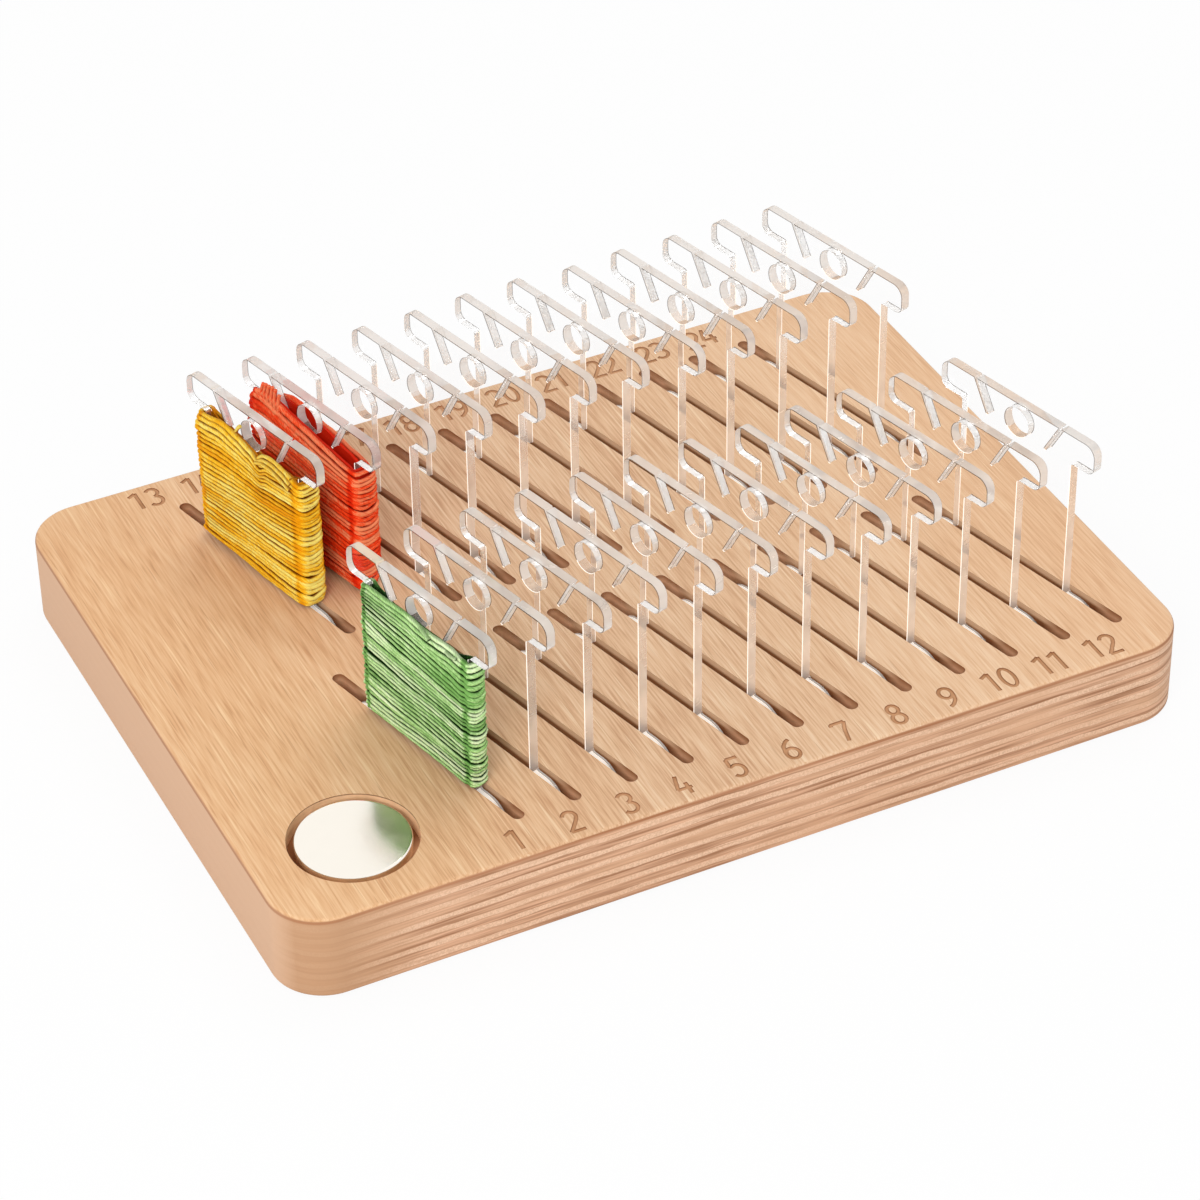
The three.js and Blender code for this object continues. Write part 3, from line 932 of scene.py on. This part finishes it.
# Floss windings: one thread laid turn by turn round the bobbin's body, over a closed underlayer
flossValues = {
    "strand": 0.84,
    "turns": 30,
    "evenTurns": 20,
    "evenShare": 0.67,
    "pileFrom": 0.6,
    "domeFrom": 0.9,
    "sagUntil": 0.8,
    "sag": 0.7,
    "wave": 0.45,
    "stray": 0.9,
    "furrow": 0.28,
    "fullPitch": 0.92,
    "bottom": 9.4,
    "neck": 37.7,
    "bodyWidth": 28,
    "bodyThickness": 2,
    "cornerRadius": 0.9,
    "endFrom": 0.93,
    "twistPitch": 7.0,
    "lobe": 0.05,
    "step": 0.5,
    "sides": 12,
    "pointsPerTurn": 84,
    "pointsPerEnd": 9,
}
# lean: (share of the height, fall in mm towards the front end). crests: (place from back -1 to front 1,
# height in mm of the winding's top edge over the neck), on the side with the left end and on the other.
# ends: loose cut ends of thread as (x along the slot, y across, z over the neck)
windings = {
    "Green": {
        "number": 1, "wall": 0.35, "seed": 3, "slot": "floss_green",
        "lean": [(0, 0.0), (0.35, 0.8), (0.75, 1.4), (1, 0.2)],
        "leftCrest": [
            (-1, 0.0), (-0.85, 1.0), (-0.5, 1.1), (-0.15, 1.3), (0.15, 1.0), (0.68, 1.2), (0.9, 0.4),
            (1, 0.0)],
        "rightCrest": [
            (-1, 0.0), (-0.85, -1.2), (-0.5, -2.6), (0.1, -3.0), (0.6, -2.4), (0.9, -0.8), (1, 0.0)],
        "ends": [
            [(2.2, -2.0, 0.4), (3.6, -2.4, 0.3), (5.4, -2.7, -0.2)],
            [(9.5, -2.1, -0.6), (11.2, -2.5, -0.5), (12.6, -2.6, -0.1)],
        ],
        "light": (236, 255, 204), "middle": (186, 230, 148), "dark": (124, 178, 92),
        "gapShade": (16, 52, 6), "gap": (0.92, 0.34),
    },
    "Yellow": {
        "number": 13, "wall": 1.0, "seed": 11, "slot": "floss_yellow",
        "lean": [(0, 0.0), (0.3, -0.9), (0.6, -1.5), (0.85, -0.6), (1, 0.3)],
        "leftCrest": [
            (-1, 0.0), (-0.85, 0.6), (-0.5, 1.5), (-0.17, 0.9), (0.05, 0.2), (0.26, -1.2), (0.42, 0.5),
            (0.7, 0.9), (0.85, 1.0), (1, 0.0)],
        "rightCrest": [(-1, 0.0), (-0.85, -1.0), (-0.5, -2.6), (0, -3.0), (0.5, -3.0), (0.8, -1.6), (1, 0.0)],
        "ends": [
            [(-3.4, -1.8, 1.4), (-2.8, -1.9, 2.4), (-2.2, -1.7, 3.2)],
            [(3.2, -1.9, -1.0), (7.0, -2.0, 0.9), (13.4, -2.3, 0.1)],
            [(3.4, -2.2, -1.4), (7.6, -2.4, 0.1), (13.6, -2.7, -0.9)],
            [(3.0, -2.5, -1.9), (7.4, -2.8, -0.7), (13.8, -3.0, -1.9)],
        ],
        "light": (255, 238, 126), "middle": (255, 202, 40), "dark": (240, 158, 0),
        "gapShade": (156, 84, 0), "gap": (0.85, 0.2),
    },
    "Red": {
        "number": 14, "wall": 1.2, "seed": 23, "slot": "floss_red",
        "lean": [(0, 0.0), (0.5, 0.4), (1, 0.9)],
        "leftCrest": [
            (-1, 0.0), (-0.93, 2.4), (-0.7, 3.0), (-0.45, 2.4), (-0.3, 2.0), (0.0, 1.6), (0.4, 0.9),
            (0.9, 0.4), (1, 0.0)],
        "rightCrest": [(-1, 0.0), (-0.4, 2.4), (0.2, 2.2), (0.7, 0.9), (1, 0.0)],
        "ends": [
            [(-11.6, -2.4, 0.4), (-11.9, -2.3, 2.4), (-11.4, -2.1, 4.6)],
            [(-10.6, -2.5, 0.6), (-10.9, -2.4, 2.6), (-10.5, -2.1, 4.9)],
            [(-9.6, -2.5, 0.6), (-9.9, -2.4, 2.7), (-9.6, -2.1, 5.0)],
            [(-8.6, -2.5, 0.6), (-8.9, -2.3, 2.7), (-8.7, -2.0, 5.1)],
            [(-7.6, -2.4, 0.6), (-7.9, -2.3, 2.5), (-7.8, -2.0, 5.0)],
            [(-6.7, -2.4, 0.4), (-6.9, -2.2, 2.2), (-6.9, -1.9, 4.2)],
        ],
        "light": (255, 150, 104), "middle": (255, 78, 30), "dark": (232, 42, 8),
        "gapShade": (180, 20, 2), "gap": (0.8, 0.1),
    },
}


def flossMaterial(name, values):
    material, tree, shader, place = startMaterial(name)
    toneAndShade, crownShade, along, lobeX, lobeY = (
        addNode(tree, "ShaderNodeAttribute", attribute_name=label).outputs["Fac"]
        for label in ("toneAndShade", "crownShade", "along", "lobeX", "lobeY"))
    # fine fibres run along the thread
    spot = addNode(tree, "ShaderNodeCombineXYZ", {
        "X": calc(tree, "MULTIPLY", along, 330.0), "Y": lobeX, "Z": lobeY})
    fibres = addNode(tree, "ShaderNodeTexNoise", {"Vector": spot, "Scale": 3.0, "Detail": 2.0}).outputs["Fac"]
    hairs = stretchedNoise(tree, place, 3600.0, (1, 1, 1), 3)
    patch = stretchedNoise(tree, place, 120.0, (1, 1, 1), 2)
    mixed = weighted(tree, (hairs, 0.12), (toneAndShade, 0.35), (patch, 0.2), (fibres, 0.33))
    stops = ((0.39, "dark"), (0.49, "middle"), (0.58, "light"))
    colour = colourRamp(tree, mixed, [(stop, tone(values[shade])) for stop, shade in stops])
    # painted shade down in the gaps between strands and on their undersides, painted light over the neck
    colour = tinted(tree, colour, crownShade, values["gap"][0], values["gap"][1], 1.0, values["gapShade"])
    feedAll(tree, shader, {"Base Color": colour, "Roughness": 0.6, "Specular IOR Level": 0.12})
    addBump(tree, shader, weighted(tree, (hairs, 0.3), (fibres, 0.7)), 0.00012, 0.8)
    return material


def ringPoint(angleShare, halfLength, halfWidth, radius):
    # point at a share of the way round a rounded rectangle, from the middle of the +y side
    straightX, straightY, bend = halfLength - radius, halfWidth - radius, math.pi / 2 * radius
    parts = [straightX, bend, 2 * straightY, bend, 2 * straightX, bend, 2 * straightY, bend, straightX]
    way = (angleShare % 1.0) * sum(parts)
    # straight parts as (start, direction), corners as (first angle, signs of the centre's x and y)
    starts = [
        ((0, halfWidth), (1, 0)), (90, 1, 1), ((halfLength, straightY), (0, -1)), (0, 1, -1),
        ((straightX, -halfWidth), (-1, 0)), (-90, -1, -1), ((-halfLength, -straightY), (0, 1)), (180, -1, 1),
        ((-straightX, halfWidth), (1, 0))]
    for part, start in zip(parts, starts):
        if way <= part or start is starts[-1]:
            if len(start) == 2:
                (x, y), (dx, dy) = start
                return Vector((x + dx * way, y + dy * way)), Vector((-dy, dx))
            angle = math.radians(start[0] - 90 * way / part)
            outward = Vector((math.cos(angle), math.sin(angle)))
            return Vector((start[1] * straightX, start[2] * straightY)) + outward * radius, outward
        way -= part


def readCurve(stops, share):
    # value at a share between stops (place, value), joined smoothly
    for (place, value), (nextPlace, nextValue) in zip(stops, stops[1:]):
        if share <= nextPlace:
            part = (share - place) / (nextPlace - place)
            return value + (nextValue - value) * part * part * (3 - 2 * part)
    return stops[-1][1]


def heightShare(turn, values):
    # turns lie evenly at first, and closer towards the top, where they pile up
    even, share = values["evenTurns"], values["evenShare"]
    if turn < even:
        return share * turn / even
    return share + (1 - share) * (turn - even) / (values["turns"] - even)


def reachAt(share, values, winding):
    # from the sheet to the middle of the outer thread, drawn in at the top and a little at the bottom
    drawnIn = values["strand"] / 2 + 0.04
    full = winding["wall"] + values["strand"] / 2
    top = max(0.0, (share - values["domeFrom"]) / (1 - values["domeFrom"]))
    bottom = max(0.0, 1 - share / 0.07)
    return drawnIn + (full - drawnIn) * math.sqrt(max(0.0, 1 - top * top)) * (1 - 0.4 * bottom * bottom)


def crestAt(side, y, winding):
    # on the narrow ends both crests have the same height
    return readCurve(winding["leftCrest" if y < 0 else "rightCrest"], side)


def heightAt(share, side, y, values, winding):
    low = values["bottom"] + values["strand"] / 2
    high = values["neck"] - values["strand"] / 2
    piled = max(0.0, (share - values["pileFrom"]) / (1 - values["pileFrom"]))
    level = low + (high - low) * share - readCurve(winding["lean"], share) * side
    return level + crestAt(side, y, winding) * piled ** 1.5


def turnNoise(turn, place, row, seed):
    # differs from turn to turn, and runs on smoothly along the thread
    whole = math.floor(turn)
    part = turn - whole
    first, second = (noise.noise(Vector((place, k * row, seed))) for k in (whole, whole + 1))
    return first + (second - first) * part * part * (3 - 2 * part)


def strandPath(values, winding):
    # one thread that climbs the body turn by turn, leaning and waving as hand wound floss does
    seed, strand = winding["seed"], values["strand"]
    low = values["bottom"] + strand / 2
    points, marks = [], {"toneAndShade": [], "reach": [], "thickness": []}
    for index in range(values["turns"] * values["pointsPerTurn"] + 1):
        turn = index / values["pointsPerTurn"]
        share = heightShare(turn, values)
        reach = reachAt(share, values, winding)
        halfX, halfY = values["bodyWidth"] / 2 + reach, values["bodyThickness"] / 2 + reach
        flat, outward = ringPoint(turn, halfX, halfY, min(values["cornerRadius"], reach))
        side, across = flat.x / halfX, flat.y / halfY
        atEnd = max(0.0, abs(side) - values["endFrom"]) / (1 - values["endFrom"])
        stray = max(0.0, turnNoise(turn, 1.5, 5.3, seed) - 0.1) * 2.0
        level = heightAt(share, side, flat.y, values, winding)
        z = level + values["wave"] * noise.noise(Vector((side * 1.1, turn * 0.16, seed)))
        astray = (0.14 + values["stray"] * stray) * turnNoise(turn, side * 1.5, 1.7, seed + 5)
        z += 0.5 * turnNoise(turn, side * 0.9, 0.41, seed + 37) + astray
        # round the narrow ends the thread sags and curls
        loose = min(1.0, (1 - share) / (1 - values["sagUntil"]))
        curl = 0.4 * turnNoise(turn, across * 1.2, 2.9, seed + 9)
        z += loose * atEnd * (curl - values["sag"] * (1 - across * across))
        # under the head it can only pile outwards
        ceiling = values["neck"] - strand / 2 + crestAt(side, flat.y, winding)
        over = max(0.0, z - ceiling)
        z = max(low + 0.08 + 0.08 * math.sin(turn * 5), min(z, ceiling))
        lift = 0.1 * turnNoise(turn, side * 1.4, 2.3, seed + 13) + 0.06 * math.cos(math.pi * turn)
        lift = lift + 0.3 * stray + min(0.5, 0.3 * over)
        lift += atEnd * (0.2 * turnNoise(turn, across, 4.1, seed + 17) + 0.22 * (1 - across * across))
        # a furrow where the thread turns round the body's corner
        fromCorner = (abs(flat.x) - halfX + values["cornerRadius"]) / 0.4
        furrow = math.exp(-fromCorner ** 2) * min(1.0, abs(across) ** 3)
        lift -= values["furrow"] * furrow
        lift = max(lift, strand / 2 + 0.03 - reach)
        spot = flat + outward * lift
        points.append((spot.x, spot.y, z))
        # random tone of each turn, with painted light where the thread stands out and painted shade in the
        # furrow
        shade = 0.5 + 0.6 * turnNoise(turn, side * 0.7, 3.7, seed + 21)
        marks["toneAndShade"].append(shade + 0.3 * lift - 0.7 * furrow)
        marks["reach"].append(reach + lift)
        pitch = heightAt(heightShare(turn + 1, values), side, flat.y, values, winding) - level
        fullness = max(0.85, min(1.3, pitch / values["fullPitch"])) * (1 + 0.15 * atEnd)
        marks["thickness"].append(fullness + 0.2 * turnNoise(turn, side * 0.4, 4.4, seed + 31))
    return points, marks


def looseEnd(corners, values):
    # a short curve through three points, as a parabola
    points = []
    for step in range(values["pointsPerEnd"]):
        t = step / (values["pointsPerEnd"] - 1) * 2
        a, b, c = (Vector(corner) for corner in corners)
        spot = a * ((t - 1) * (t - 2) / 2) - b * (t * (t - 2)) + c * (t * (t - 1) / 2)
        points.append((spot.x, spot.y, spot.z + values["neck"]))
    return points


def markCrown(data, values):
    # painted shade: how far each vertex stands out from the middle of its own thread, 1 at a full radius,
    # less on undersides
    reaches = [0.0] * len(data.vertices)
    data.attributes["reach"].data.foreach_get("value", reaches)
    crowns = []
    for vertex, reach in zip(data.vertices, reaches):
        x = abs(vertex.co.x) / mm - values["bodyWidth"] / 2
        y = abs(vertex.co.y) / mm - values["bodyThickness"] / 2
        outside = math.hypot(max(x, 0), max(y, 0)) + min(max(x, y), 0)
        crownShade = (outside - reach) / (values["strand"] / 2)
        # painted light on the inner side of what stands over the neck
        over = min(1.0, max(0.0, (vertex.co.z / mm - values["neck"] + 3.0) / 3.0))
        crowns.append(max(crownShade, 0.6 * over) + 0.6 * min(0.0, vertex.normal.z))
    data.attributes.new("crownShade", "FLOAT", "POINT").data.foreach_set("value", crowns)


def storeValue(tree, geometry, name, value):
    return addNode(tree, "GeometryNodeStoreNamedAttribute", {
        "Geometry": geometry, "Name": name, "Value": value}, data_type="FLOAT", domain="POINT")


def flossTree():
    # a soft two-ply thread, slightly twisted, along each path
    tree, take = newTree("flossThread", {
        "Radius": "Float", "Step": "Float", "Twist Pitch": "Float", "Sides": "Int", "Lobe": "Float",
        "Material": "Material"})
    line = addNode(tree, "GeometryNodeMeshToCurve", {0: take[0]})
    bent = addNode(tree, "GeometryNodeCurveSplineType", {"Curve": line}, spline_type="CATMULL_ROM")
    fine = addNode(tree, "GeometryNodeResampleCurve", {"Curve": bent, "Length": take["Step"]}, mode="LENGTH")
    upright = addNode(tree, "GeometryNodeSetCurveNormal", {"Curve": fine}, mode="Z_UP")
    along = addNode(tree, "GeometryNodeSplineParameter").outputs["Length"]
    tilt = calc(tree, "MULTIPLY", calc(tree, "DIVIDE", along, take["Twist Pitch"]), 2 * math.pi)
    twisted = addNode(tree, "GeometryNodeSetCurveTilt", {"Curve": upright, "Tilt": tilt})
    measured = storeValue(tree, twisted, "along", along)
    section = addNode(tree, "GeometryNodeCurvePrimitiveCircle", {
        "Resolution": take["Sides"], "Radius": take["Radius"]})
    around = addNode(tree, "GeometryNodeSplineParameter").outputs["Factor"]
    angle = calc(tree, "MULTIPLY", around, 2 * math.pi)
    section = storeValue(tree, section, "lobeX", calc(tree, "COSINE", angle))
    section = storeValue(tree, section, "lobeY", calc(tree, "SINE", angle))
    lobes = calc(tree, "COSINE", calc(tree, "MULTIPLY", angle, 2.0))
    swell = calc(tree, "MULTIPLY_ADD", lobes, take["Lobe"], 1.0)
    here = addNode(tree, "GeometryNodeInputPosition")
    scaled = addNode(tree, "ShaderNodeVectorMath", {0: here, "Scale": swell}, operation="SCALE")
    section = addNode(tree, "GeometryNodeSetPosition", {"Geometry": section, "Position": scaled})
    thickness = addNode(tree, "GeometryNodeInputNamedAttribute", {"Name": "thickness"}, data_type="FLOAT")
    body = addNode(tree, "GeometryNodeCurveToMesh", {
        "Curve": measured, "Profile Curve": section, "Scale": thickness, "Fill Caps": True})
    smooth = addNode(tree, "GeometryNodeSetShadeSmooth", {"Geometry": body})
    return endTree(tree, smooth, take["Material"])


def underlayerMesh(values, winding, levels=18, around=96):
    # closed layer between the body and the strands, with the same crest, coloured as painted shade
    mesh = bmesh.new()
    outerRings, innerRings = [], []
    for rings, lifted in ((outerRings, True), (innerRings, False)):
        for level in range(levels + 1):
            share = 0.015 + 0.97 * level / levels
            reach = max(0.16, reachAt(share, values, winding) - 0.6 * values["strand"]) if lifted else 0.06
            halfX, halfY = values["bodyWidth"] / 2 + reach, values["bodyThickness"] / 2 + reach
            spots = []
            for step in range(around):
                flat = ringPoint(step / around, halfX, halfY, min(0.6, reach))[0]
                z = heightAt(share, flat.x / halfX, flat.y, values, winding)
                ceiling = values["neck"] - values["strand"] / 2 + crestAt(flat.x / halfX, flat.y, winding)
                z = max(values["bottom"] + 0.2 + share, min(z, ceiling - 0.1 - 0.3 * (1 - share)))
                spots.append((flat.x, flat.y, z))
            rings.append(addRing(mesh, spots))
    bridgeRings(mesh, outerRings + innerRings[::-1] + outerRings[:1])
    bmesh.ops.recalc_face_normals(mesh, faces=mesh.faces)
    data = finishMesh(mesh, "flossUnderlayer")
    # painted shade: dark between the strands, lighter at the crest
    crowns = [-0.1] * (levels - 1) * around + [0.5] * 2 * around + [0.3] * (levels + 1) * around
    data.attributes.new("crownShade", "FLOAT", "POINT").data.foreach_set("value", crowns)
    return data


def makeWindings(values, windings):
    tree = flossTree()
    for colour, winding in windings.items():
        place = bobbinPlace(winding["number"])
        body = "numbered_bobbin_%02d" % winding["number"]
        material = flossMaterial("floss" + colour, winding)
        points, marks = strandPath(values, winding)
        paths = [(points, False)]
        for corners in winding["ends"]:
            end = looseEnd(corners, values)
            paths.append((end, False))
            marks["toneAndShade"] += [0.6] * len(end)
            marks["reach"] += [abs(y) - values["bodyThickness"] / 2 for x, y, z in end]
            marks["thickness"] += [0.9] * len(end)
        data = growMesh(pathHost("strands" + colour, paths, marks), tree, {
            "Radius": values["strand"] / 2 * mm,
            "Step": values["step"] * mm,
            "Twist Pitch": values["twistPitch"] * mm,
            "Lobe": values["lobe"],
            "Sides": values["sides"],
            "Material": material,
        }, "flossStrands" + colour)
        markCrown(data, values)
        data.transform(place)
        strands = placeObject("flossStrands" + colour, data)
        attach(strands, body)
        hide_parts("floss_turns_%02d" % winding["number"])
        data = underlayerMesh(values, winding)
        data.transform(place)
        data.materials.append(material)
        sleeve = placeObject("flossUnderlayer" + colour, data)
        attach(sleeve, body)
        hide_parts("floss_core_%02d" % winding["number"])
        print("winding made:", colour, len(strands.data.polygons), "faces")


makeWindings(flossValues, windings)


# Floor, white surroundings and soft light
studioValues = {
    "floorSize": 3.0,  # metres, as the lamps' places and sizes
    "floorDrop": 0.0002,
    "floorShadow": 0.08,
    "fill": 0.65,
    "keyPower": 2.5,
    "keySize": 0.7,
    "keyPlace": (0.48, 0.38, 1.12),
    "sidePower": 6.5,
    "sideSize": 0.6,
    "sidePlace": (-0.68, -0.74, 0.72),
    "clearSurfaces": 36,  # a dozen clear sheets, two surfaces each, and their edges
}


def seenDirectly(tree):
    # 1 for rays to the camera, in mirrors and through clear sheet
    path = addNode(tree, "ShaderNodeLightPath").outputs
    either = calc(tree, "MAXIMUM", path["Is Camera Ray"], path["Is Glossy Ray"])
    return calc(tree, "MAXIMUM", either, path["Is Transmission Ray"])


def makeFloor(values):
    material = bpy.data.materials.new("whiteFloor")
    material.use_nodes = True
    tree = material.node_tree
    tree.nodes.clear()
    diffuse = addNode(tree, "ShaderNodeBsdfDiffuse", {"Color": (0.9, 0.9, 0.9, 1)})
    white = addNode(tree, "ShaderNodeEmission", {"Color": (1, 1, 1, 1), "Strength": 1.0})
    factor = calc(tree, "MULTIPLY", seenDirectly(tree), 1.0 - values["floorShadow"])
    mixed = addNode(tree, "ShaderNodeMixShader", {0: factor, 1: diffuse, 2: white})
    addNode(tree, "ShaderNodeOutputMaterial", {"Surface": mixed})
    half, z = values["floorSize"] / 2, -values["floorDrop"]
    corners = [(-half, -half, z), (half, -half, z), (half, half, z), (-half, half, z)]
    data = bpy.data.meshes.new("floor")
    data.from_pydata(corners, [], [(0, 1, 2, 3)])
    data.materials.append(material)
    placeObject("floor", data)


def makeWorld(values):
    world = bpy.data.worlds.new("whiteRoom")
    world.use_nodes = True
    tree = world.node_tree
    tree.nodes.clear()
    strength = remap(tree, seenDirectly(tree), 0.0, 1.0, values["fill"], 1.0)
    background = addNode(tree, "ShaderNodeBackground", {"Color": (1, 1, 1, 1), "Strength": strength})
    addNode(tree, "ShaderNodeOutputWorld", {"Surface": background})
    scene.world = world


def makeLamp(name, place, power, size):
    lamp = bpy.data.objects.new(name, bpy.data.lights.new(name, "AREA"))
    lamp.data.shape = "DISK"
    lamp.data.size = size
    lamp.data.energy = power
    lamp.visible_glossy = False
    scene.collection.objects.link(lamp)
    lamp.location = place
    lamp.rotation_euler = (Vector((0, 0, 0)) - Vector(place)).to_track_quat("-Z", "Y").to_euler()


def makeStudio(values):
    makeFloor(values)
    makeWorld(values)
    makeLamp("keyLamp", values["keyPlace"], values["keyPower"], values["keySize"])
    makeLamp("sideLamp", values["sidePlace"], values["sidePower"], values["sideSize"])
    scene.view_settings.view_transform = "Standard"
    scene.cycles.glossy_bounces = values["clearSurfaces"]
    scene.cycles.transmission_bounces = values["clearSurfaces"]
    scene.cycles.max_bounces = values["clearSurfaces"] + 4
    scene.cycles.transparent_max_bounces = values["clearSurfaces"] + 4


makeStudio(studioValues)
print("studio made")
